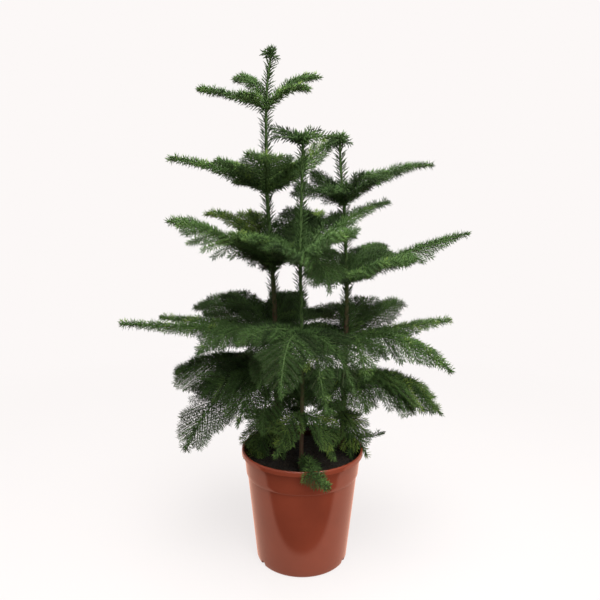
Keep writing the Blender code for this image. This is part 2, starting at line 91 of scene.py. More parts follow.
# The boughs of each stem, by their height on it.
BOUGHS = {
    "left": {
        0.778: (
            (185, 0.113, 0.029, 0.005, 0.017, 0.006, 10, 0.6, 0.3, 0.6),
            (15, 0.088, 0.055, 0.016, 0.021, 0.006, 15, 0.7, 0.3, 0.7),
            (118, 0.117, 0.071, 0.019, 0.020, 0.012, 15, 0.7, 0.3, 0.6),
            (238, 0.077, 0.008, 0.007, 0.019, 0.004, 15, 0.5, 0.4, 0.6),
            (345, 0.076, 0.028, 0.012, 0.018, 0.004, 10, 0.6, 0.3, 0.8),
        ),
        0.642: (
            (182, 0.170, 0.054, 0.011, 0.027, 0.003, 20, 0.35, 0.8, 0.5),
            (12, 0.120, 0.092, -0.003, 0.036, 0.005, 36, 0.5, 0.4, 0.8),
            (97, 0.155, 0.055, 0.012, 0.066, 0.008, 0, 0.4, 0.6, 0.8),
            (272, 0.125, 0.044, 0.016, 0.052, 0.005, 0, 0.3, 0.6, 0.75),
            (215, 0.101, 0.044, 0.012, 0.029, 0.003, 20, 0.4, 0.6, 0.6),
            (140, 0.075, 0.018, 0.008, 0.030, 0.006, 0, 0.4, 0.6, 0.5),
        ),
        0.508: (
            (202, 0.178, 0.083, 0.017, 0.070, 0.038, 24, 0.45, 0.7, 0.4),
            (150, 0.148, 0.096, 0.031, 0.022, 0.008, 15, 0.4, 0.6, 0.9),
            (85, 0.165, 0.100, 0.014, 0.070, 0.012, 0, 0.4, 0.5, 1.0),
            (28, 0.085, 0.088, 0.012, 0.042, 0.008, 20, 0.4, 0.5, 0.2),
            (262, 0.140, 0.056, 0.020, 0.046, 0.014, 0, 0.3, 0.6, 0.5),
            (240, 0.111, 0.060, 0.020, 0.046, 0.012, 10, 0.3, 0.6, 0.6),
            (125, 0.075, 0.098, 0.010, 0.034, 0.006, 20, 0.5, 0.5, 0.9),
        ),
        0.396: (
            (188, 0.268, 0.022, 0.000, 0.038, 0.021, 18, 0.25, 1.0, 0.5),
            (172, 0.216, 0.022, 0.002, 0.036, 0.010, 12, 0.35, 0.9, 0.5),
            (140, 0.202, 0.034, 0.012, 0.058, 0.002, 26, 0.4, 0.35, -0.2),
            (222, 0.162, -0.012, 0.022, 0.045, 0.013, 12, 0.4, 0.5, 0.25),
            (84, 0.225, 0.030, 0.018, 0.048, 0.008, 0, 0.4, 0.5, -0.2),
            (264, 0.165, -0.050, 0.020, 0.048, 0.020, 0, 0.3, 0.6, 0.2),
            (104, 0.175, 0.050, 0.014, 0.062, 0.002, 10, 0.5, 0.35, 0.2),
            (60, 0.205, 0.004, 0.018, 0.048, 0.008, 0, 0.4, 0.5, -0.2),
        ),
        0.320: (
            (172, 0.194, -0.006, 0.018, 0.058, 0.026, 26, 0.5, 0.5, -0.2),
            (200, 0.138, -0.028, 0.024, 0.056, 0.020, 24, 0.5, 0.5, -0.2),
            (203, 0.170, -0.112, 0.047, 0.064, 0.003, 60, 0.6, 0.3, -0.2),
            (240, 0.122, -0.058, 0.030, 0.050, 0.014, 15, 0.4, 0.4, 0.4),
            (262, 0.125, -0.062, 0.024, 0.050, 0.014, 0, 0.4, 0.5, 0.3),
            (110, 0.215, -0.014, 0.020, 0.068, 0.018, 0, 0.4, 0.5, 0.0),
        ),
        0.245: (
            (284, 0.060, -0.058, 0.028, 0.040, 0.010, 0, 0.4, 0.5, 0.8),
            (165, 0.042, -0.046, 0.020, 0.036, 0.008, 15, 0.4, 0.5, 0.5),
            (20, 0.060, -0.030, 0.026, 0.038, 0.008, 10, 0.4, 0.5, 0.5),
        ),
        0.232: (
            (195, 0.064, -0.060, 0.014, 0.050, 0.020, 20, 0.5, 0.5, 1.0),
            (235, 0.068, -0.058, 0.034, 0.046, 0.014, 10, 0.5, 0.5, 0.8),
            (120, 0.074, -0.040, 0.030, 0.042, 0.008, 0, 0.4, 0.5, 0.5),
        ),
    },
    "middle": {
        0.525: (
            (22, 0.163, 0.100, 0.018, 0.026, 0.006, 20, 0.4, 0.8, 0.4),
            (318, 0.104, 0.050, 0.012, 0.054, 0.024, 22, 0.5, 0.4, 0.35),
            (298, 0.096, -0.034, 0.030, 0.052, 0.016, 10, 0.4, 0.5, 0.2),
            (228, 0.080, 0.027, 0.010, 0.040, 0.018, 10, 0.4, 0.6, 0.3),
            (94, 0.150, 0.090, 0.010, 0.050, 0.008, 0, 0.5, 0.5, -0.2),
            (50, 0.105, 0.080, 0.012, 0.038, 0.008, 0, 0.5, 0.5, -0.2),
        ),
        0.408: (
            (288, 0.125, -0.090, 0.036, 0.036, 0.014, 0, 0.4, 0.6, 0.4),
            (258, 0.145, -0.060, 0.034, 0.052, 0.016, 0, 0.4, 0.5, 0.1),
            (318, 0.112, -0.074, 0.034, 0.052, 0.016, 15, 0.4, 0.5, 0.05),
            (214, 0.120, 0.000, 0.018, 0.044, 0.014, 15, 0.4, 0.6, 0.3),
        ),
        0.290: ((95, 0.090, -0.040, 0.026, 0.050, 0.010, 0, 0.4, 0.5, 0.2),),
        0.270: (
            (330, 0.065, -0.058, 0.026, 0.046, 0.010, 10, 0.4, 0.5, 0.8),
            (225, 0.062, -0.050, 0.026, 0.040, 0.010, 10, 0.4, 0.5, 0.8),
        ),
        0.200: ((296, 0.092, -0.012, 0.008, 0.022, 0.012, 0, 0.6, 0.5, 0.4),),
    },
    "right": {
        0.622: (
            (0, 0.150, 0.066, 0.018, 0.036, 0.004, 16, 0.35, 0.8, 0.25),
            (318, 0.074, 0.031, 0.028, 0.044, 0.006, 20, 0.5, 0.5, 0.15),
            (176, 0.086, 0.026, 0.008, 0.046, 0.004, 30, 0.5, 0.4, 0.0),
            (150, 0.066, 0.056, 0.004, 0.030, 0.004, 20, 0.5, 0.5, -0.1),
        ),
        0.490: (
            (2, 0.215, 0.084, 0.008, 0.038, 0.020, 16, 0.5, 0.9, 0.25),
            (322, 0.130, 0.040, 0.010, 0.052, 0.014, 18, 0.4, 0.5, 0.45),
            (88, 0.175, 0.057, 0.014, 0.064, 0.010, 0, 0.4, 0.5, 0.2),
            (236, 0.092, 0.006, 0.012, 0.046, 0.014, 10, 0.4, 0.6, 0.5),
            (58, 0.150, 0.046, 0.012, 0.050, 0.008, 0, 0.4, 0.5, -0.2),
        ),
        0.386: (
            (4, 0.191, 0.033, 0.004, 0.026, 0.010, 14, 0.5, 0.8, 0.7),
            (42, 0.142, 0.057, 0.004, 0.036, 0.008, 18, 0.5, 0.35, -0.3),
            (92, 0.150, 0.040, 0.014, 0.060, 0.010, 0, 0.4, 0.5, 0.2),
            (333, 0.190, -0.034, 0.026, 0.056, 0.032, 16, 0.35, 0.7, 0.45),
            (282, 0.120, -0.040, 0.022, 0.048, 0.016, 0, 0.4, 0.6, 0.4),
            (66, 0.100, 0.062, 0.010, 0.044, 0.006, 10, 0.5, 0.5, 0.3),
        ),
        0.305: (
            (350, 0.175, -0.046, 0.040, 0.058, 0.030, 6, 0.6, 0.7, -0.7),
            (336, 0.130, -0.034, 0.030, 0.048, 0.026, 10, 0.6, 0.5, -0.4),
        ),
        0.250: (
            (240, 0.058, -0.060, 0.028, 0.040, 0.010, 10, 0.4, 0.5, 0.8),
            (60, 0.055, -0.048, 0.016, 0.028, 0.008, 0, 0.4, 0.5, 0.2),
            (120, 0.068, -0.048, 0.028, 0.038, 0.008, 0, 0.4, 0.5, 0.2),
        ),
        0.240: ((285, 0.052, -0.058, 0.028, 0.042, 0.010, 0, 0.5, 0.5, 0.8),),
        0.235: ((318, 0.056, -0.048, 0.016, 0.036, 0.014, 10, 0.5, 0.5, 0.8),),
        0.215: ((345, 0.079, 0.006, -0.008, 0.010, 0.004, 10, 0.4, 0.5, 0.5),),
    },
}
# Young shoots at each growing tip: azimuth, length and rise.
CROWNS = {
    "left": (
        (182, 0.016, 0.005), (350, 0.014, -0.003), (250, 0.012, 0.008), (95, 0.011, 0.010),
        (140, 0.013, 0.009), (30, 0.008, 0.013), (300, 0.009, 0.011),
    ),
    "middle": (
        (172, 0.054, 0.021), (182, 0.048, 0.012), (163, 0.036, 0.016), (200, 0.052, 0.002),
        (352, 0.054, 0.006), (330, 0.034, 0.006), (280, 0.026, 0.006), (95, 0.030, 0.009),
        (45, 0.020, 0.020), (140, 0.030, 0.010), (240, 0.020, 0.010), (20, 0.030, 0.018),
    ),
    "right": (
        (5, 0.021, -0.005), (205, 0.028, -0.012), (230, 0.022, -0.008), (120, 0.022, 0.012),
        (285, 0.018, 0.004), (60, 0.016, 0.010), (165, 0.020, 0.006), (330, 0.016, 0.002),
    ),
}
# Needles by tone: name, colour, and for side shoots the factors on their spacing and width, and
# how flat they lie.
NEEDLE_TONES = (
    ("deep_shade", "#28391e", 0.95, 0.85, 0.85),
    ("deep_green", "#3a512b", 1.00, 1.00, 0.70),
    ("mid_green", "#4b6737", 1.20, 1.25, 0.45),
    ("fresh_green", "#5f7c41", 1.35, 1.35, 0.30),
    ("young_green", "#768f44", 1.35, 1.35, 0.20),
)
# The turn from one needle to the next along a shoot.
GOLDEN_ANGLE = math.radians(137.508)
# A stem's corners are eased over this height each way.
EASE = 0.025
# A stem's foot is wider by this share, and narrows over this height.
FLARE, FLARE_HEIGHT = 0.45, 0.020
# Between these heights a tier is filled up with boughs of this size where two neighbours stand
# twice this angle apart. The youngest tier is still thin, and the lowest stays open.
FILLED_TIERS, FILLER_SIZE, FILLER_GAP = (0.300, 0.700), 0.64, 40
# Half widths: below the first a bough is slim, and below the second it has no side rows. Beyond
# the third, a bough between two azimuths at the back is grown as two.
SLIM, BARE, BROADEST, BACK = 0.022, 0.012, 0.060, (60, 125)
# A bough fresher than this has a third row of shoots.
TOP_ROW_FROM = 0.35
# The first drain notch's azimuth in degrees, and the notches' size.
NOTCH_AZIMUTH, NOTCH_SIZE = -26, (0.016, 0.012, 0.014)
# About the most triangles in one piece of needles.
MOST_FACES = 180_000
# What a skeleton's points carry to its tree.
CARRIED = ("thickness", "size", "lean", "plane")


# ---------------- small helpers


def linear(hex_colour, alpha=1.0):
    """An sRGB hex colour as linear red, green, blue and alpha."""
    parts = [int(hex_colour[start : start + 2], 16) / 255 for start in (1, 3, 5)]
    parts = [c / 12.92 if c <= 0.04045 else ((c + 0.055) / 1.055) ** 2.4 for c in parts]
    return (*parts, alpha)


def add_node(tree, kind, settings=None, **inputs):
    """Adds a node, sets its own settings, and gives its inputs values or links.

    Settings are a dict, or just the name of an operation. An input is named by its label with _
    for a space, or as in_0, in_1 for its place. A node given to it stands for its first output.
    """
    made = tree.nodes.new(kind)
    if isinstance(settings, str):
        settings = {"operation": settings}
    for name, value in (settings or {}).items():
        setattr(made, name, value)
    for name, source in inputs.items():
        socket = made.inputs[int(name[3:]) if name[:3] == "in_" else name.replace("_", " ")]
        if isinstance(source, bpy.types.Node):
            source = source.outputs[0]
        if isinstance(source, bpy.types.NodeSocket):
            tree.links.new(source, socket)
        else:
            socket.default_value = source
    return made


def new_material(name):
    """An empty node material, and add_node for its tree."""
    material = bpy.data.materials.new(name)
    material.use_nodes = True
    material.node_tree.nodes.clear()
    return material, partial(add_node, material.node_tree)


def keep_piece(obj, slot, *nodes):
    """Hands a finished piece to the frame, in place of the nodes it stands for."""
    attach(obj, "root")
    if nodes:
        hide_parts(*nodes)


def new_object(name, data):
    """An object at the origin for a mesh, a light or a camera."""
    obj = bpy.data.objects.new(name, data)
    bpy.context.scene.collection.objects.link(obj)
    return obj


def plain_mesh(name, bm):
    """What a bmesh holds, as a mesh. The bmesh is freed."""
    mesh = bpy.data.meshes.new(name)
    bm.to_mesh(mesh)
    bm.free()
    return mesh


def smooth_mesh(name, bm):
    """What a bmesh holds, as a mesh with smooth faces that look outwards."""
    bmesh.ops.recalc_face_normals(bm, faces=bm.faces[:])
    mesh = plain_mesh(name, bm)
    for face in mesh.polygons:
        face.use_smooth = True
    return mesh


def new_tree(name, **sockets):
    """A geometry tree with a Geometry input and the given ones, add_node for it, and its inputs."""
    tree = bpy.data.node_groups.new(name, "GeometryNodeTree")
    for label, kind in {"Geometry": "Geometry", **sockets}.items():
        tree.interface.new_socket(label, in_out="INPUT", socket_type=f"NodeSocket{kind}")
    tree.interface.new_socket("Geometry", in_out="OUTPUT", socket_type="NodeSocketGeometry")
    return tree, partial(add_node, tree), tree.nodes.new("NodeGroupInput").outputs


def finish_tree(add, geometry, material):
    """Realises what a tree has made, gives it its material and sends it out."""
    real = add("GeometryNodeRealizeInstances", Geometry=geometry)
    smooth = add("GeometryNodeSetShadeSmooth", Geometry=real)
    painted = add("GeometryNodeSetMaterial", Geometry=smooth, Material=material)
    add("NodeGroupOutput", Geometry=painted)


def grow(name, mesh, tree, **values):
    """Runs a tree over a mesh and keeps what comes out as a plain mesh object."""
    obj = new_object(name, mesh)
    modifier = obj.modifiers.new("grow", "NODES")
    modifier.node_group = tree
    for item in tree.interface.items_tree:
        if item.name in values:
            modifier[item.identifier] = values[item.name]
    graph = bpy.context.evaluated_depsgraph_get()
    grown = bpy.data.meshes.new_from_object(obj.evaluated_get(graph), depsgraph=graph)
    if not grown.polygons:
        raise RuntimeError(f"{name}: the tree {tree.name} made nothing")
    obj.modifiers.clear()
    obj.data = grown
    grown.name = name
    for attribute in [a.name for a in grown.attributes if a.name in CARRIED]:
        grown.attributes.remove(grown.attributes[attribute])
    return obj


# ---------------- settings


def metres(name, description, default):
    """A setting for a length."""
    return FloatProperty(name=name, description=description, default=default, unit="LENGTH")


def paint(name, description, hex_colour):
    """A setting for a colour."""
    return FloatVectorProperty(
        name=name, description=description, subtype="COLOR", size=4, default=linear(hex_colour)
    )


class PotSettings(bpy.types.PropertyGroup):
    """Sizes and colours of the nursery pot and its soil."""

    height: metres("Height", "Foot to lip", 0.200)
    lip_radius: metres("Lip radius", "Outer radius of the lip", 0.1065)
    foot_radius: metres("Foot radius", "Outer radius at the floor", 0.080)
    soil_top: metres("Soil top", "Height of the soil's surface", 0.185)
    plastic: paint("Plastic", "Colour of the pot's plastic", "#8a402d")
    compost: paint("Compost", "Colour of the damp potting compost", "#17130e")


class StemSettings(bpy.types.PropertyGroup):
    """Look of the stems and boughs."""

    young: paint("Young bark", "Green bark of the upper stem", "#45602d")
    old: paint("Old bark", "Brown bark of the lower stem", "#4a3524")
    relief: metres("Relief", "Height of the leaf cushions on the bark", 0.0005)


class FoliageSettings(bpy.types.PropertyGroup):
    """Sizes, density and seed of the needles and side shoots."""

    needle_length: metres("Needle length", "Of a needle on a side shoot", 0.0098)
    needle_width: metres("Needle width", "Across a needle's widest ring", 0.0012)
    needle_spacing: metres("Needle spacing", "Along a shoot, from needle to needle", 0.00052)
    shoot_spacing: metres("Shoot spacing", "Along a bough, from shoot to shoot", 0.0098)
    seed: IntProperty(name="Seed", description="Seed of the branching", default=7)


class StageSettings(bpy.types.PropertyGroup):
    """Backdrop and camera."""

    backdrop: paint("Backdrop", "Colour of the floor and backdrop", "#fcf8f7")
    camera_distance: metres("Camera distance", "In front of the pot's axis", 0.942)
    camera_height: metres("Camera height", "Above the floor", 0.596)
    lens: FloatProperty(name="Lens", description="Focal length", default=33.54, unit="CAMERA")


# ---------------- how the tree grows


def stem_centre(side, height):
    """Centre of a stem at a height, with the corners between its stations eased."""
    stations = np.array(STEMS[side])
    window = height + EASE * np.array((-1.0, -0.5, 0.0, 0.5, 1.0))
    x = np.interp(window, stations[:, 0], stations[:, 1]).mean()
    y = np.interp(window, stations[:, 0], stations[:, 2]).mean()
    return np.array((x, y, height))


def stem_radius(side, height):
    """Radius of a stem: an even taper, with a short flare at the soil."""
    low, high = STEMS[side][0][0], STEMS[side][-1][0]
    foot, tip = STEM_RADII[side]
    share = min(max((height - low) / (high - low), 0.0), 1.0)
    flare = max(0.0, 1 - (height - low) / FLARE_HEIGHT)
    return (foot + (tip - foot) * share**0.9) * (1 + FLARE * flare**2)


class Shoot:
    """One twig: its line, radii, needles and tone, and a way in the plane of its frond.

    Thickness is its radius, size a factor on its needles' length and lean their angle from it in
    degrees, each at its foot and at its tip.
    """

    def __init__(self, side, kind, points, thickness, size, lean, tone, plane=(1.0, 0.0, 0.0)):
        self.side, self.kind, self.tone = side, kind, tone
        self.points = np.asarray(points)
        self.plane = np.tile(plane, (len(points), 1))
        share = np.linspace(0, 1, len(points))
        self.thickness = thickness[0] + (thickness[1] - thickness[0]) * share
        # Needles shrink towards the bud, and lean closer to the shoot there.
        ending = 0.75 + 0.25 * np.clip((1 - share) / 0.15, 0.0, 1.0)
        self.size = (size[0] + (size[1] - size[0]) * share) * ending
        self.lean = np.radians(lean[0] + (lean[1] - lean[0]) * share) * ending


def pick_tone(rng, level):
    """A tone from 0, the deepest green, to the freshest, round a level from 0 to 1."""
    last = len(NEEDLE_TONES) - 1
    return int(np.clip(round(level * last + rng.normal(0.0, 0.75)), 0, last))


def frond_width(share, half_width, widest, taper):
    """Half width of a frond along its bough: swelling to its widest, then falling away."""
    share = min(max(share, 0.0), 0.999)
    if share < widest:
        return half_width * (0.32 + 0.68 * (share / widest) ** 0.8)
    return half_width * ((1 - share) / (1 - widest)) ** taper


def grow_bough(side, height, row, rng, spacing):
    """A bough with two rows of side shoots, as a list of shoots."""
    azimuth, reach, rise, arch, half_width, droop, roll, widest, taper, fresh_and_lit = row
    hub = stem_centre(side, height)
    angle, roll = math.radians(azimuth), math.radians(roll)
    along = np.array((math.cos(angle), math.sin(angle), 0.0))
    across = np.array((-math.sin(angle), math.cos(angle), 0.0))
    up = np.array((0.0, 0.0, 1.0))
    length = reach - 0.004
    wander = rng.normal(0, 0.0022, 2)
    wave = rng.uniform(0, 6.28, 2)

    def axis(share):
        """Points on the bough's own line, at shares of its length."""
        share = np.asarray(share, float)[..., None]
        bend = np.sin(np.pi * share) * wander[0] + np.sin(2 * np.pi * share) * wander[1]
        lift = rise * share + arch * 4 * share * (1 - share)
        return hub + along * (length * share) + up * lift + across * bend

    steps = max(8, int(reach / 0.008))
    stout = np.clip(half_width / 0.04, 0.45, 1.0)
    slim, bare, shaded, fresh_and_lit = half_width < SLIM, half_width < BARE, fresh_and_lit < 0, abs(fresh_and_lit)
    shoots = [
        Shoot(
            side,
            "slim" if slim else "bough",
            axis(np.linspace(0.0, 1.0, steps)),
            thickness=(0.0012 + 0.0014 * stout, 0.0008),
            size=(0.55, 0.65) if bare else (1.30, 1.00) if slim else (1.15, 1.00),
            lean=(66, 52),
            tone=pick_tone(rng, (0.7 if slim else 0.5) * fresh_and_lit + 0.1),
            plane=across * math.cos(roll) + up * math.sin(roll) * (1 if across[1] > 0 else -1),
        )
    ]
    # Two rows of side shoots, and on a fresh bough a sparse third row along its top. Each row has
    # a hand, a scale, whether it stands upright, and a factor on its spacing.
    rows = [] if bare else [(1, 1.0, 0.0, 1.0), (-1, 1.0, 0.0, 1.0)]
    if fresh_and_lit > TOP_ROW_FROM:
        rows.append((0, 0.14, 1.0, 1.6))
    # Shoots stand closer on a fresh bough, and closest in an old open net, where they are slim.
    spacing = spacing * (0.86 if shaded else 1.04 - 0.15 * fresh_and_lit)
    needles_lean = (74 - 10 * fresh_and_lit, 62 - 10 * fresh_and_lit)
    if shaded:
        needles_lean = (86 - 12 * fresh_and_lit, 74 - 12 * fresh_and_lit)
    for hand, scale, upright, sparse in rows:
        share = (0.07 if half_width > 0.02 else 0.20) + rng.uniform(0, 1) * spacing / length
        while share < 0.985:
            lean = math.radians(64 - 16 * share + rng.normal(0, 3))
            width = frond_width(share + 0.2 * half_width / reach, half_width, widest, taper)
            width = max(width * scale * rng.uniform(0.84, 1.06), 0.005)
            size = width / math.sin(lean)
            base = axis(share)
            ahead = axis(share + 0.03) - axis(share - 0.03)
            ahead = ahead / np.linalg.norm(ahead)
            t = np.linspace(0, 1, max(4, int(size / 0.006) + 2))[:, None]
            forward = size * math.cos(lean) * t * (0.90 + 0.28 * t)
            sideways = size * math.sin(lean) * t * (1 - 0.12 * t)
            if hand:
                flutter = 0.10 * math.sin(9 * share + wave[max(hand, 0)]) + rng.normal(0, 0.05)
                raised = math.tan(roll) * hand * across[1] + flutter
                flat = math.cos(roll)
                sag = droop * (sideways / max(half_width, 0.01)) ** 2
            else:
                raised, flat, sag = 1.0, rng.normal(0, 0.5), 0.0
            curl = (0.16 * fresh_and_lit - 0.02) * size * t * t
            way = across * ((hand or 1) * flat) + up * (raised * abs(flat if hand else 1))
            way = way - ahead * (way @ ahead)
            line = base + ahead * forward + way * sideways + up * (curl - sag)
            # The tone rises with the bough's freshness, whose numbers also paint light and shade,
            # and towards its tip.
            level = fresh_and_lit * ((0.36 if slim else 0.55) + 0.34 * share) + 0.10 + 0.15 * upright
            shoots.append(
                Shoot(
                    side,
                    "lattice" if shaded else "shoot",
                    line,
                    thickness=(0.0010, 0.0006) if shaded else (0.0008, 0.0005),
                    size=(1.25, 1.10) if shaded else (1.10, 1.00),
                    lean=needles_lean,
                    tone=pick_tone(rng, level),
                    plane=ahead,
                )
            )
            share += sparse * spacing / length * rng.uniform(0.88, 1.12)
    return shoots


def fill_whorl(rows):
    """One tier's rows, with shorter boughs set wherever two neighbours stand far apart."""
    rows = sorted(rows, key=lambda row: row.azimuth)
    full = list(rows)
    for row, after in zip(rows, rows[1:] + rows[:1]):
        gap = (after.azimuth - row.azimuth) % 360 or 360
        count = int(gap // FILLER_GAP) - 1
        for step in range(1, count + 1):
            share = step / (count + 1)
            _, *sizes = [a + (b - a) * share for a, b in zip(row, after)]
            sizes[:4] = [value * FILLER_SIZE for value in sizes[:4]]
            full.append(Bough((row.azimuth + gap * share) % 360, *sizes))
    return full


def grow_crown(side, row, rng):
    """A young shoot at a stem's growing tip: it arches over a little."""
    azimuth, length, rise = row
    hub = stem_centre(side, STEMS[side][-1][0])
    angle = math.radians(azimuth)
    along = np.array((math.cos(angle), math.sin(angle), 0.0))
    t = np.linspace(0, 1, max(5, int(length / 0.004)))[:, None]
    lift = np.array((0.0, 0.0, 1.0)) * (rise * t + 0.08 * length * 4 * t * (1 - t))
    line = hub + along * (length - 0.003) * t + lift
    return Shoot(
        side,
        "slim",
        line,
        thickness=(0.0014, 0.0007),
        size=(1.20, 1.00),
        lean=(68, 54),
        tone=pick_tone(rng, 0.3),
    )


def grow_leader(side):
    """The needles that stand along the stem itself."""
    top, low = STEMS[side][-1][0], BARE_BELOW[side][0]
    heights = np.linspace(low, top, int((top - low) / 0.006))
    line = [stem_centre(side, z) for z in heights]
    shoot = Shoot(side, "leader", line, thickness=(0, 0), size=(0, 0), lean=(0, 0), tone=0)
    # These follow the stem, in place of a shoot's own. The needles' feet are just in the bark.
    shoot.thickness = np.array([stem_radius(side, z) for z in heights]) * 0.85
    share = (heights - low) / (top - low)
    shoot.size = 1.55 - 0.10 * share
    shoot.lean = np.radians(50 + 8 * share)
    return shoot


def grow_plant(settings):
    """Every shoot of the plant, from the tables and one seed."""
    rng = np.random.default_rng(settings.seed)
    shoots = []
    for side in SIDES:
        shoots.append(grow_leader(side))
        shoots += [grow_crown(side, row, rng) for row in CROWNS[side]]
        for height, tier in sorted(BOUGHS[side].items()):
            tier = [Bough(*row) for row in tier]
            if FILLED_TIERS[0] < height < FILLED_TIERS[1]:
                tier = fill_whorl(tier)
            for row in tier:
                twins = [row]
                if row.half_width > BROADEST and BACK[0] < row.azimuth < BACK[1]:
                    turn = math.degrees(math.atan(0.55 * row.half_width / (0.5 * row.reach)))
                    row = row._replace(half_width=row.half_width * 0.68)
                    twins = [row._replace(azimuth=row.azimuth + way * turn) for way in (-1, 1)]
                for twin in twins:
                    shoots += grow_bough(side, height, twin, rng, settings.shoot_spacing)
    return shoots


def skeleton(name, shoots):
    """One mesh of bare edges along the shoots, which carries their sizes for the trees."""
    points, edges, start = [], [], 0
    for shoot in shoots:
        count = len(shoot.points)
        points.append(shoot.points)
        edges.append(np.stack((np.arange(count - 1), np.arange(1, count)), 1) + start)
        start += count
    mesh = bpy.data.meshes.new(name)
    mesh.from_pydata(np.concatenate(points).tolist(), np.concatenate(edges).tolist(), [])
    for label in ("thickness", "size", "lean"):
        values = np.concatenate([getattr(shoot, label) for shoot in shoots]).astype(np.float32)
        mesh.attributes.new(label, "FLOAT", "POINT").data.foreach_set("value", values)
    ways = np.concatenate([shoot.plane for shoot in shoots]).astype(np.float32)
    mesh.attributes.new("plane", "FLOAT_VECTOR", "POINT").data.foreach_set("vector", ways.ravel())
    return mesh


def needle_tree():
    """Sets needles round every edge of a skeleton, a golden turn apart.

    Flatten draws them towards the plane of their frond, as on a shaded branch.
    """
    tree, add, given = new_tree(
        "needle_rows",
        Spacing="Float",
        Length="Float",
        Width="Float",
        Curve="Float",
        Flatten="Float",
        Rings="Int",
        Seed="Int",
        Material="Material",
    )
    line = add("GeometryNodeMeshToCurve", Mesh=given["Geometry"])
    row = add("GeometryNodeCurveToPoints", {"mode": "LENGTH"}, Curve=line, Length=given["Spacing"])
    tangent = row.outputs["Tangent"]
    named = {
        label: add("GeometryNodeInputNamedAttribute", Name=label)
        for label in ("size", "lean", "thickness")
    }
    count = add("GeometryNodeInputIndex")
    seed = given["Seed"]
    # A needle strays a little from its turn and its lean.
    chance = add("FunctionNodeRandomValue", in_2=-0.5, in_3=0.5, Seed=seed)
    sway = chance.outputs[1]
    turn = add("ShaderNodeMath", "MULTIPLY_ADD", in_0=count, in_1=GOLDEN_ANGLE, in_2=sway)
    # Taking flatten / 2 * sin(2 turn) from a turn crowds the angles round 0 and 180 degrees.
    double = add("ShaderNodeMath", "MULTIPLY", in_0=turn, in_1=2.0)
    swing = add("ShaderNodeMath", "SINE", in_0=double)
    half = add("ShaderNodeMath", "MULTIPLY", in_0=given["Flatten"], in_1=-0.5)
    folded = add("ShaderNodeMath", "MULTIPLY_ADD", in_0=swing, in_1=half, in_2=turn)
    plane = add("GeometryNodeInputNamedAttribute", {"data_type": "FLOAT_VECTOR"}, Name="plane")
    # Square to the shoot, and in its frond's plane.
    lift = add("ShaderNodeVectorMath", "CROSS_PRODUCT", in_0=tangent, in_1=plane)
    flat_way = add("ShaderNodeVectorMath", "CROSS_PRODUCT", in_0=lift, in_1=tangent)
    unit = add("ShaderNodeVectorMath", "NORMALIZE", in_0=flat_way)
    outward = add("ShaderNodeVectorRotate", Vector=unit, Axis=tangent, Angle=folded)
    opening = add("ShaderNodeMath", "MULTIPLY_ADD", in_0=sway, in_1=0.35, in_2=named["lean"])
    sine = add("ShaderNodeMath", "SINE", in_0=opening)
    cosine = add("ShaderNodeMath", "COSINE", in_0=opening)
    sideways = add("ShaderNodeVectorMath", "SCALE", in_0=outward, Scale=sine)
    ahead = add("ShaderNodeVectorMath", "SCALE", in_0=tangent, Scale=cosine)
    way = add("ShaderNodeVectorMath", "ADD", in_0=sideways, in_1=ahead)
    upright = add("FunctionNodeAlignRotationToVector", {"axis": "Z"}, Vector=way)
    facing = add(
        "FunctionNodeAlignRotationToVector",
        {"axis": "X", "pivot_axis": "Z"},
        Rotation=upright,
        Vector=tangent,
    )
    to_bark = add("ShaderNodeVectorMath", "SCALE", in_0=outward, Scale=named["thickness"])
    seated = add("GeometryNodeSetPosition", Geometry=row.outputs["Points"], Offset=to_bark)
    stretch = add("FunctionNodeRandomValue", in_2=0.82, in_3=1.12, Seed=seed, ID=count)
    grown = add("ShaderNodeMath", "MULTIPLY", in_0=stretch.outputs[1], in_1=named["size"])
    long = add("ShaderNodeMath", "MULTIPLY", in_0=grown, in_1=given["Length"])
    scale = add("ShaderNodeCombineXYZ", X=given["Width"], Y=given["Width"], Z=long)
    # A needle is a three-sided spindle, sharp at both ends, which curves in towards its shoot.
    ball = add("GeometryNodeMeshUVSphere", Segments=3, Rings=given["Rings"], Radius=0.5)
    raised = add(
        "GeometryNodeTransform", Geometry=ball.outputs["Mesh"], Translation=(0.0, 0.0, 0.5)
    )
    place = add("GeometryNodeInputPosition")
    height = add("ShaderNodeSeparateXYZ", Vector=place).outputs["Z"]
    bent = add("ShaderNodeMath", "MULTIPLY", in_0=height, in_1=height)
    inward = add("ShaderNodeMath", "MULTIPLY", in_0=bent, in_1=given["Curve"])
    # Its widest ring sits below the middle: z - z squared is a quarter there.
    belly = add("ShaderNodeMath", "SUBTRACT", in_0=bent, in_1=height)
    lower = add("ShaderNodeMath", "MULTIPLY", in_0=belly, in_1=0.5)
    shift = add("ShaderNodeCombineXYZ", X=inward, Z=lower)
    curved = add("GeometryNodeSetPosition", Geometry=raised, Offset=shift)
    set_out = add(
        "GeometryNodeInstanceOnPoints", Points=seated, Instance=curved, Rotation=facing, Scale=scale
    )
    finish_tree(add, set_out, given["Material"])
    return tree


def twig_tree():
    """Skins a skeleton with tapering round twigs."""
    tree, add, given = new_tree("twig_skin", Sides="Int", Material="Material")
    line = add("GeometryNodeMeshToCurve", Mesh=given["Geometry"])
    thickness = add("GeometryNodeInputNamedAttribute", Name="thickness")
    ring = add("GeometryNodeCurvePrimitiveCircle", Resolution=given["Sides"], Radius=1.0)
    skin = add(
        "GeometryNodeCurveToMesh", Curve=line, Profile_Curve=ring, Scale=thickness, Fill_Caps=True
    )
    finish_tree(add, skin, given["Material"])
    return tree


# ---------------- materials


def needle_material(name, colour):
    """Living needle: one even green under a thin waxy skin that hardly shines."""
    material, add = new_material(name)
    shader = add(
        "ShaderNodeBsdfPrincipled",
        Base_Color=colour,
        Roughness=0.55,
        IOR=1.45,
        Specular_IOR_Level=0.16,
    )
    add("ShaderNodeOutputMaterial", Surface=shader)
    return material


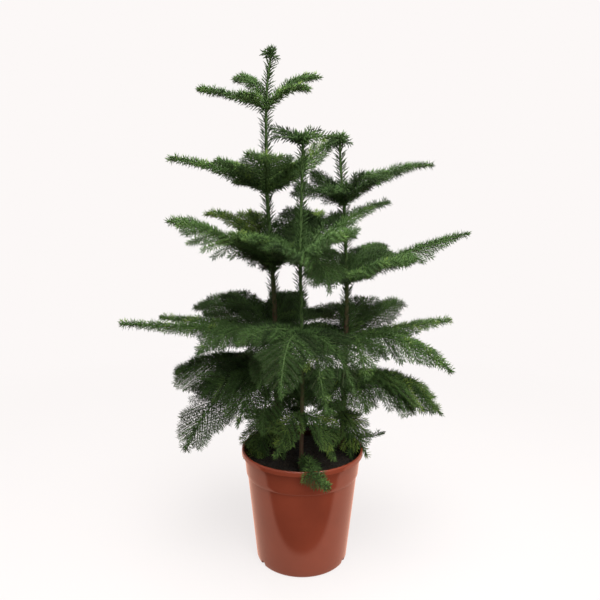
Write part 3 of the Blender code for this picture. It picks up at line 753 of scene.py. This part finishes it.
def bark_material(name, young, old, low, high):
    """Thin bark: green and smooth on young wood, brown and cracked below."""
    material, add = new_material(name)
    place = add("ShaderNodeTexCoord").outputs["Object"]
    height = add("ShaderNodeSeparateXYZ", Vector=place).outputs["Z"]
    mottle = add("ShaderNodeTexNoise", Vector=place, Scale=160.0, Detail=4.0)
    age = add("ShaderNodeMapRange", Value=height, From_Min=low, From_Max=high)
    stain = add("ShaderNodeMath", "MULTIPLY_ADD", in_0=mottle.outputs["Fac"], in_1=0.7, in_2=-0.35)
    mixed = add("ShaderNodeMath", {"operation": "ADD", "use_clamp": True}, in_0=age, in_1=stain)
    tint = add("ShaderNodeValToRGB", Fac=mixed)
    brown, green = tint.color_ramp.elements
    brown.color, green.color = old, young
    # Cracks and scale edges about 1.5 mm apart.
    cracks = add("ShaderNodeTexVoronoi", Vector=place, Scale=650.0)
    bump = add("ShaderNodeBump", Height=cracks.outputs["Distance"], Strength=0.5, Distance=0.0004)
    shader = add("ShaderNodeBsdfPrincipled", Base_Color=tint, Normal=bump, Roughness=0.8)
    add("ShaderNodeOutputMaterial", Surface=shader)
    return material


def plastic_material(name, colour):
    """Injection-moulded polypropylene: even colour under a satin skin."""
    material, add = new_material(name)
    place = add("ShaderNodeTexCoord").outputs["Object"]
    cloud = add("ShaderNodeTexNoise", Vector=place, Scale=14.0, Detail=3.0)
    tint = add("ShaderNodeValToRGB", Fac=cloud.outputs["Fac"])
    dark, light = tint.color_ramp.elements
    dark.color, dark.position = (*(c * 0.90 for c in colour[:3]), 1.0), 0.3
    light.color, light.position = (*(min(c * 1.08, 1.0) for c in colour[:3]), 1.0), 0.7
    # Fine mould grain, about 0.8 mm, drawn a little coarser than life.
    grain = add("ShaderNodeTexNoise", Vector=place, Scale=900.0, Detail=2.0)
    bump = add("ShaderNodeBump", Height=grain.outputs["Fac"], Strength=0.08, Distance=0.0003)
    shader = add("ShaderNodeBsdfPrincipled", Base_Color=tint, Normal=bump, Roughness=0.14, IOR=1.50)
    add("ShaderNodeOutputMaterial", Surface=shader)
    return material


def compost_material(name, colour):
    """Damp peat compost: near black, crumbly, with paler dry fibres."""
    material, add = new_material(name)
    place = add("ShaderNodeTexCoord").outputs["Object"]
    crumb = add("ShaderNodeTexNoise", Vector=place, Scale=420.0, Detail=6.0)
    tint = add("ShaderNodeValToRGB", Fac=crumb.outputs["Fac"])
    damp, dry = tint.color_ramp.elements
    damp.color, damp.position = colour, 0.45
    dry.color, dry.position = linear("#3d3226"), 0.85
    bump = add("ShaderNodeBump", Height=crumb.outputs["Fac"], Strength=0.9, Distance=0.001)
    shader = add("ShaderNodeBsdfPrincipled", Base_Color=tint, Normal=bump, Roughness=0.92)
    add("ShaderNodeOutputMaterial", Surface=shader)
    return material


# ---------------- pieces


def turned(name, profile, sides):
    """A surface of revolution from (radius, height) points that start and end on the axis."""
    bm = bmesh.new()
    verts = [bm.verts.new((radius, 0.0, height)) for radius, height in profile]
    edges = [bm.edges.new(pair) for pair in zip(verts, verts[1:])]
    bmesh.ops.spin(
        bm,
        geom=verts + edges,
        cent=(0, 0, 0),
        axis=(0, 0, 1),
        angle=2 * math.pi,
        steps=sides,
        use_merge=True,
    )
    bmesh.ops.remove_doubles(bm, verts=bm.verts[:], dist=1e-6)
    return smooth_mesh(name, bm)


class MakePot(bpy.types.Operator):
    """Turns the pot: thin wall, rolled lip, stepped collar and drain notches"""

    bl_idname = "pine.make_pot"
    bl_label = "Pot"

    def execute(self, context):
        pot = context.scene.pine_pot
        high, lip_out, foot = pot.height, pot.lip_radius, pot.foot_radius
        wall, floor = 0.0022, 0.0040
        collar_foot, collar_top = high - 0.0435, high - 0.013
        collar_edge = collar_foot + 0.0009
        # Outer radii: the body under the collar, and the collar's foot and top.
        body_top, skirt, neck = 0.0965, 0.0985, 0.1015

        def body(height):
            return foot + (body_top - foot) * height / collar_foot

        # The underside stands on a ring near the rim, whose edge is rounded.
        profile = [(0.0, 0.0012), (foot * 0.86, 0.0012), (foot * 0.88, 0.0)]
        profile += [(foot - 0.0040, 0.0), (foot - 0.0022, 0.0004), (body(0.002) - 0.0006, 0.0016)]
        profile += [(body(0.0035), 0.0035)]
        profile += [(body(z), z) for z in np.linspace(0.012, collar_foot - 0.004, 12)]
        profile += [(body(collar_foot - 0.001), collar_foot - 0.001)]
        profile += [(skirt - 0.0004, collar_foot), (skirt, collar_edge)]
        for share in np.linspace(0, 1, 6)[1:]:
            radius = skirt + (neck - skirt) * share
            profile.append((radius, collar_edge + (collar_top - collar_foot - 0.0009) * share))
        # The lip is 9 mm deep: a crisp return under it, a plumb face and a rounded top.
        profile += [(neck, high - 0.0098), (lip_out - 0.0008, high - 0.0092)]
        profile += [(lip_out, high - 0.0084), (lip_out, high - 0.0030)]
        for step in range(1, 9):
            turn = math.radians(20 * step)
            round_x, round_z = math.cos(turn), math.sin(turn)
            profile.append((lip_out - 0.0022 + 0.0022 * round_x, high - 0.0030 + 0.0030 * round_z))
        # Down the inside, one wall's thickness in.
        profile += [(neck - 0.6 * wall, high - 0.0080)]
        profile += [(neck - wall, collar_top), (skirt - wall, collar_foot)]
        profile += [(body(collar_foot) - wall, collar_foot - 0.003)]
        profile += [(body(floor) - wall, floor), (0.0, floor)]
        obj = new_object("nursery_pot", turned("nursery_pot", profile, 144))
        cutters = []
        for index in range(3):
            angle = math.radians(NOTCH_AZIMUTH + 120 * index)
            bm = bmesh.new()
            bmesh.ops.create_cube(bm, size=1.0)
            bmesh.ops.scale(bm, vec=NOTCH_SIZE, verts=bm.verts)
            bmesh.ops.bevel(bm, geom=bm.edges[:], offset=0.0012, segments=2, affect="EDGES")
            at_foot = Matrix.Translation((foot + 0.001, 0, 0))
            bmesh.ops.transform(bm, matrix=Matrix.Rotation(angle, 4, "Z") @ at_foot, verts=bm.verts)
            cutter = new_object(f"notch_{index}", plain_mesh("notch", bm))
            cutters.append(cutter)
            cut = obj.modifiers.new(f"notch_{index}", "BOOLEAN")
            cut.operation, cut.solver, cut.object = "DIFFERENCE", "EXACT", cutter
        graph = context.evaluated_depsgraph_get()
        cut_pot = bpy.data.meshes.new_from_object(obj.evaluated_get(graph), depsgraph=graph)
        obj.modifiers.clear()
        obj.data = cut_pot
        for cutter in cutters:
            bpy.data.objects.remove(cutter, do_unlink=True)
        # The collar, the lip's return and the notches keep crisp edges.
        cut_pot.set_sharp_from_angle(angle=math.radians(38))
        cut_pot.materials.clear()
        cut_pot.materials.append(plastic_material("moulded_polypropylene", tuple(pot.plastic)))
        # The second material is a darker copy of the plastic: painted shade for the inside of the
        # wall.
        cut_pot.materials.append(plastic_material("painted_shade_polypropylene", linear("#3a1a10")))
        # The inside of the wall, below the lip, takes the darker copy of the plastic as painted
        # shade.
        for face in cut_pot.polygons:
            outward = face.center.x * face.normal.x + face.center.y * face.normal.y
            inside = outward < 0 and face.center.z > 0.1 and face.center.xy.length < neck
            face.material_index = int(inside)
        keep_piece(obj, "pot", "pot")
        return {"FINISHED"}


class MakeSoil(bpy.types.Operator):
    """Fills the pot with crumbly compost and strews loose crumbs over it"""

    bl_idname = "pine.make_soil"
    bl_label = "Soil"

    def execute(self, context):
        pot = context.scene.pine_pot
        top, radius, underside = pot.soil_top, 0.0970, 0.172
        rings, sides = 46, 150
        bm = bmesh.new()
        rows = []
        for ring in range(1, rings + 1):
            r = radius * ring / rings
            row = []
            for step in range(sides):
                a = 2 * math.pi * (step + 0.5 * (ring % 2)) / sides
                x, y = r * math.cos(a), r * math.sin(a)
                # Lumps about 14 mm across, crumbs about 4 mm, and an edge that sinks to the wall.
                lumps = noise.noise(Vector((x, y, 0)) * 70) * 0.0022
                crumbs = noise.noise(Vector((x, y, 3)) * 240) * 0.0016
                edge = -0.003 * max(0.0, r / radius - 0.85) / 0.15
                row.append(bm.verts.new((x, y, top - 0.001 + lumps + crumbs + edge)))
            rows.append(row)
        centre = bm.verts.new((0, 0, top - 0.001))
        rows.append([bm.verts.new((v.co.x * 0.985, v.co.y * 0.985, underside)) for v in rows[-1]])
        base = bm.verts.new((0, 0, underside))
        for step in range(sides):
            after = (step + 1) % sides
            bm.faces.new((centre, rows[0][step], rows[0][after]))
            for lower, upper in zip(rows, rows[1:]):
                bm.faces.new((lower[step], upper[step], upper[after], lower[after]))
            bm.faces.new((rows[-1][step], base, rows[-1][after]))
        mesh = smooth_mesh("compost", bm)
        mesh.materials.append(compost_material("peat_compost", tuple(pot.compost)))
        keep_piece(new_object("compost", mesh), "soil", "soil")

        tree, add, given = new_tree(
            "crumb_scatter", Density="Float", Largest="Float", Seed="Int", Material="Material"
        )
        spots = add(
            "GeometryNodeDistributePointsOnFaces",
            Mesh=given["Geometry"],
            Density=given["Density"],
            Seed=given["Seed"],
        )
        lump = add("GeometryNodeMeshIcoSphere", Radius=1.0, Subdivisions=1)
        grade, spin = (
            add(
                "FunctionNodeRandomValue",
                {"data_type": "FLOAT_VECTOR"},
                in_0=least,
                in_1=most,
                Seed=given["Seed"],
            )
            for least, most in (
                ((0.2, 0.2, 0.15), (1.0, 0.7, 0.5)),
                ((0.0, 0.0, 0.0), (6.28, 6.28, 6.28)),
            )
        )
        size = add("ShaderNodeVectorMath", "SCALE", in_0=grade, Scale=given["Largest"])
        strewn = add(
            "GeometryNodeInstanceOnPoints",
            Points=spots.outputs["Points"],
            Instance=lump.outputs["Mesh"],
            Rotation=spin,
            Scale=size,
        )
        finish_tree(add, strewn, given["Material"])
        disc = bmesh.new()
        bmesh.ops.create_circle(disc, cap_ends=True, radius=radius * 0.96, segments=48)
        bmesh.ops.translate(disc, verts=disc.verts, vec=(0, 0, top - 0.0004))
        crumbs_piece = grow(
            "compost_crumbs",
            plain_mesh("seedbed", disc),
            tree,
            Density=70000.0,
            Largest=0.0022,
            Seed=3,
            Material=compost_material("bark_crumbs", linear("#241b12")),
        )
        keep_piece(crumbs_piece, "soil")
        return {"FINISHED"}


def bark_tube(name, side, relief):
    """A stem with leaf cushions in a spiral all the way up."""
    low, high = STEMS[side][0][0] - 0.004, STEMS[side][-1][0] + 0.001
    rings, sides = int((high - low) / 0.0022), 26
    angles = np.arange(sides) * 2 * np.pi / sides
    bm = bmesh.new()
    rows = []
    for z in np.linspace(low, high, rings):
        centre = stem_centre(side, z)
        # Cushions about 3 mm tall in eight steep rows, worn down to cracks near the soil.
        wave = np.cos(4 * angles + z * 1500) * np.cos(4 * angles - z * 1500)
        rough = [noise.noise(Vector((math.cos(a) * 2, math.sin(a) * 2, z * 300))) for a in angles]
        young = min(max((z - 0.25) / 0.3, 0.25), 1.0)
        r = stem_radius(side, z) + relief * (young * wave + 1.1 * np.array(rough))
        rows.append(
            [
                bm.verts.new((centre[0] + r[i] * math.cos(a), centre[1] + r[i] * math.sin(a), z))
                for i, a in enumerate(angles)
            ]
        )
    for lower, upper in zip(rows, rows[1:]):
        for step in range(sides):
            after = (step + 1) % sides
            bm.faces.new((lower[step], lower[after], upper[after], upper[step]))
    bm.faces.new(rows[0])
    bm.faces.new(rows[-1])
    return smooth_mesh(name, bm)


class MakeStems(bpy.types.Operator):
    """Raises the three stems, with their bark's relief"""

    bl_idname = "pine.make_stems"
    bl_label = "Stems"

    def execute(self, context):
        bark = context.scene.pine_stems
        young, old = tuple(bark.young), tuple(bark.old)
        for side in SIDES:
            mesh = bark_tube(f"bark_{side}", side, bark.relief)
            brown = BARE_BELOW[side][1]
            mesh.materials.append(
                bark_material(f"thin_bark_{side}", young, old, brown - 0.05, brown + 0.10)
            )
            keep_piece(new_object(f"bark_{side}", mesh), "bark", f"stem_{side}")
        return {"FINISHED"}


def nodes_named(start):
    """The frame's nodes whose names start with the given letters."""
    return sorted(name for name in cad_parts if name.startswith(start))


class MakeWood(bpy.types.Operator):
    """Grows the boughs and side shoots as tapering wood"""

    bl_idname = "pine.make_wood"
    bl_label = "Boughs and side shoots"

    def execute(self, context):
        shoots = grow_plant(context.scene.pine_foliage)
        tree = twig_tree()
        young = tuple(context.scene.pine_stems.young)
        bough_bark = bark_material("bough_bark", young, linear("#2e3018"), 0.1, 0.2)
        shoot_bark = bark_material("green_shoot", linear("#3f5426"), linear("#2f3a1c"), 0.2, 0.7)
        for side in SIDES:
            for name, kinds, corners, material, nodes in (
                ("boughs", ("bough", "slim"), 8, bough_bark, nodes_named(f"bough_{side}")),
                ("shoots", ("shoot", "lattice"), 4, shoot_bark, ()),
            ):
                chosen = [s for s in shoots if s.side == side and s.kind in kinds]
                lines = skeleton(name, chosen)
                piece = grow(f"{name}_{side}", lines, tree, Sides=corners, Material=material)
                keep_piece(piece, "bark", *nodes)
        return {"FINISHED"}


class MakeNeedles(bpy.types.Operator):
    """Sets the needles on every shoot and stem, in pieces by stem, kind of shoot and tone"""

    bl_idname = "pine.make_needles"
    bl_label = "Needles"

    def execute(self, context):
        foliage = context.scene.pine_foliage
        shoots = grow_plant(foliage)
        tree = needle_tree()
        # Kind of shoot, its tone or None for all, tone of the needles, word in the piece's name,
        # factors on the needles' spacing and width, flatness and rings.
        jobs = []
        for tone, (name, _, wide, broad, flat) in enumerate(NEEDLE_TONES):
            jobs.append(("shoot", tone, tone, name, wide, broad, flat, 2))
            jobs.append(("lattice", tone, tone, f"open_{name}", 0.80, 0.95, 0.80, 2))
            jobs.append(("slim", tone, tone, f"tips_{name}", 1.9, 1.55, 0.0, 3))
        jobs.append(("bough", None, 2, "boughs", 1.6, 1.45, 0.1, 2))
        jobs.append(("leader", None, 1, "stem", 2.0, 1.75, 0.0, 3))
        materials = [
            needle_material(f"waxy_needle_{name}", linear(tint)) for name, tint, *_ in NEEDLE_TONES
        ]
        for side, job in itertools.product(SIDES, jobs):
            kind, picked, tone, name, wide, broad, flat, rings = job
            chosen = [s for s in shoots if s.side == side and s.kind == kind]
            chosen = [s for s in chosen if picked in (None, s.tone)]
            if not chosen:
                continue
            # Shoots are dealt out to pieces of about MOST_FACES at most. A needle has six
            # triangles for each of its rings beyond the first.
            lengths = [np.linalg.norm(np.diff(s.points, axis=0), axis=1).sum() for s in chosen]
            faces = sum(lengths) / (foliage.needle_spacing * wide) * 6 * (rings - 1)
            parts = int(faces // MOST_FACES) + 1
            for part in range(parts):
                piece = grow(
                    f"needles_{side}_{name}" + (f"_{part + 1}" if parts > 1 else ""),
                    skeleton("needle_rows", chosen[part::parts]),
                    tree,
                    Spacing=foliage.needle_spacing * wide,
                    Length=foliage.needle_length,
                    Width=foliage.needle_width * broad,
                    Curve=0.9,
                    Flatten=flat,
                    Rings=rings,
                    Seed=foliage.seed + tone,
                    Material=materials[tone],
                )
                keep_piece(piece, "foliage", *nodes_named(f"foliage_{side}"))
        return {"FINISHED"}


class MakeStage(bpy.types.Operator):
    """Sets the pale floor, the soft studio light and the camera"""

    bl_idname = "pine.make_stage"
    bl_label = "Stage, light and camera"

    def execute(self, context):
        scene = context.scene
        stage = scene.pine_stage
        scene.view_settings.view_transform = "Standard"
        backdrop = tuple(stage.backdrop)

        # Lit paper round the pot, which fades to the plain backdrop farther out.
        bm = bmesh.new()
        bmesh.ops.create_circle(bm, cap_ends=True, radius=9.0, segments=96)
        floor_mesh = plain_mesh("floor", bm)
        material, add = new_material("paper_backdrop")
        place = add("ShaderNodeTexCoord").outputs["Object"]
        far = add("ShaderNodeVectorMath", "LENGTH", in_0=place)
        fade = add("ShaderNodeMapRange", Value=far.outputs["Value"], From_Min=0.3, From_Max=1.6)
        glow = add("ShaderNodeEmission", Color=backdrop, Strength=1.0)
        near_glow = add("ShaderNodeEmission", Color=backdrop, Strength=0.80)
        paper = add("ShaderNodeBsdfDiffuse", Color=(0.16, 0.155, 0.155, 1.0))
        near = add("ShaderNodeAddShader", in_0=near_glow, in_1=paper)
        blend = add("ShaderNodeMixShader", Fac=fade, in_1=near, in_2=glow)
        ray = add("ShaderNodeLightPath")
        dim = add("ShaderNodeBsdfDiffuse", Color=(0.30, 0.29, 0.28, 1.0))
        # Glossy things mirror a painted reflection: a bright, warm sweep that only glossy rays see.
        # It stops a hand's breadth before the pot and is nearly dark in front of that.
        front = add("ShaderNodeSeparateXYZ", Vector=place).outputs["Y"]
        edge = add(
            "ShaderNodeMapRange",
            Value=front,
            From_Min=-0.140,
            From_Max=-0.125,
            To_Min=0.03,
            To_Max=1.40,
        )
        painted_sweep = add("ShaderNodeEmission", Color=(1.0, 0.55, 0.42, 1.0), Strength=edge)
        mirrored = add(
            "ShaderNodeMixShader", Fac=ray.outputs["Is Glossy Ray"], in_1=dim, in_2=painted_sweep
        )
        camera_ray = ray.outputs["Is Camera Ray"]
        seen = add("ShaderNodeMixShader", Fac=camera_ray, in_1=mirrored, in_2=blend)
        add("ShaderNodeOutputMaterial", Surface=seen)
        floor_mesh.materials.append(material)
        floor = new_object("floor", floor_mesh)

        world = bpy.data.worlds.new("studio")
        scene.world = world
        world.use_nodes = True
        world.node_tree.nodes.clear()
        add = partial(add_node, world.node_tree)
        seen = add("ShaderNodeBackground", Color=backdrop, Strength=1.0)
        lit = add("ShaderNodeBackground", Color=(1.0, 0.98, 0.96, 1.0), Strength=0.31)
        camera_ray = add("ShaderNodeLightPath").outputs["Is Camera Ray"]
        choice = add("ShaderNodeMixShader", Fac=camera_ray, in_1=lit, in_2=seen)
        add("ShaderNodeOutputWorld", Surface=choice)

        for name, place, size, watts, tint in (
            ("top_light", (0.15, -0.50, 2.3), 1.8, 80.0, (1.0, 0.985, 0.96)),
            ("front_light", (0.9, -2.0, 1.3), 1.2, 22.0, (1.0, 0.98, 0.96)),
        ):
            light = bpy.data.lights.new(name, "AREA")
            light.shape, light.size = "DISK", size
            light.energy, light.color = watts, tint
            lamp = new_object(name, light)
            lamp.location = place
            aim = Vector((0.0, 0.0, 0.4)) - Vector(place)
            lamp.rotation_euler = aim.to_track_quat("-Z", "Y").to_euler()

        camera = bpy.data.cameras.new("camera")
        camera.sensor_width = 36.0
        camera.lens = stage.lens
        camera.clip_start = 0.05
        # It looks a little down at the crown.
        yaw, pitch, roll = math.radians(-0.34), math.radians(8.2), math.radians(0.33)
        turn = Matrix.Rotation(-yaw, 3, "Z")
        forward = turn @ Vector((0, math.cos(pitch), -math.sin(pitch)))
        right = turn @ Vector((1, 0, 0))
        up = right.cross(forward)
        facing = Matrix((right, up, -forward)).transposed() @ Matrix.Rotation(roll, 3, "Z")
        holder = new_object("camera", camera)
        stand = Matrix.Translation((0, -stage.camera_distance, stage.camera_height))
        holder.matrix_world = stand @ facing.to_4x4()
        scene.camera = holder
        return {"FINISHED"}


# ---------------- panel and registration

OPERATORS = (MakePot, MakeSoil, MakeStems, MakeWood, MakeNeedles, MakeStage)
SETTINGS = {
    "pine_pot": PotSettings,
    "pine_stems": StemSettings,
    "pine_foliage": FoliageSettings,
    "pine_stage": StageSettings,
}


class PinePanel(bpy.types.Panel):
    """Lists the pieces of the pine and their settings"""

    bl_idname = "VIEW3D_PT_pine"
    bl_label = "Norfolk Island Pine"
    bl_space_type = "VIEW_3D"
    bl_region_type = "UI"
    bl_category = "Pine"

    def draw(self, context):
        for operator in OPERATORS:
            self.layout.operator(operator.bl_idname)
        for name, group in SETTINGS.items():
            box = self.layout.box()
            for field in group.__annotations__:
                box.prop(getattr(context.scene, name), field)


def register():
    for name, group in SETTINGS.items():
        bpy.utils.register_class(group)
        setattr(bpy.types.Scene, name, PointerProperty(type=group))
    for each in (*OPERATORS, PinePanel):
        bpy.utils.register_class(each)


def unregister():
    for each in (PinePanel, *reversed(OPERATORS)):
        bpy.utils.unregister_class(each)
    for name, group in reversed(SETTINGS.items()):
        delattr(bpy.types.Scene, name)
        bpy.utils.unregister_class(group)


def main():
    register()
    bpy.ops.pine.make_pot()
    bpy.ops.pine.make_soil()
    bpy.ops.pine.make_stems()
    bpy.ops.pine.make_wood()
    bpy.ops.pine.make_needles()
    bpy.ops.pine.make_stage()


if __name__ == "__main__":
    main()
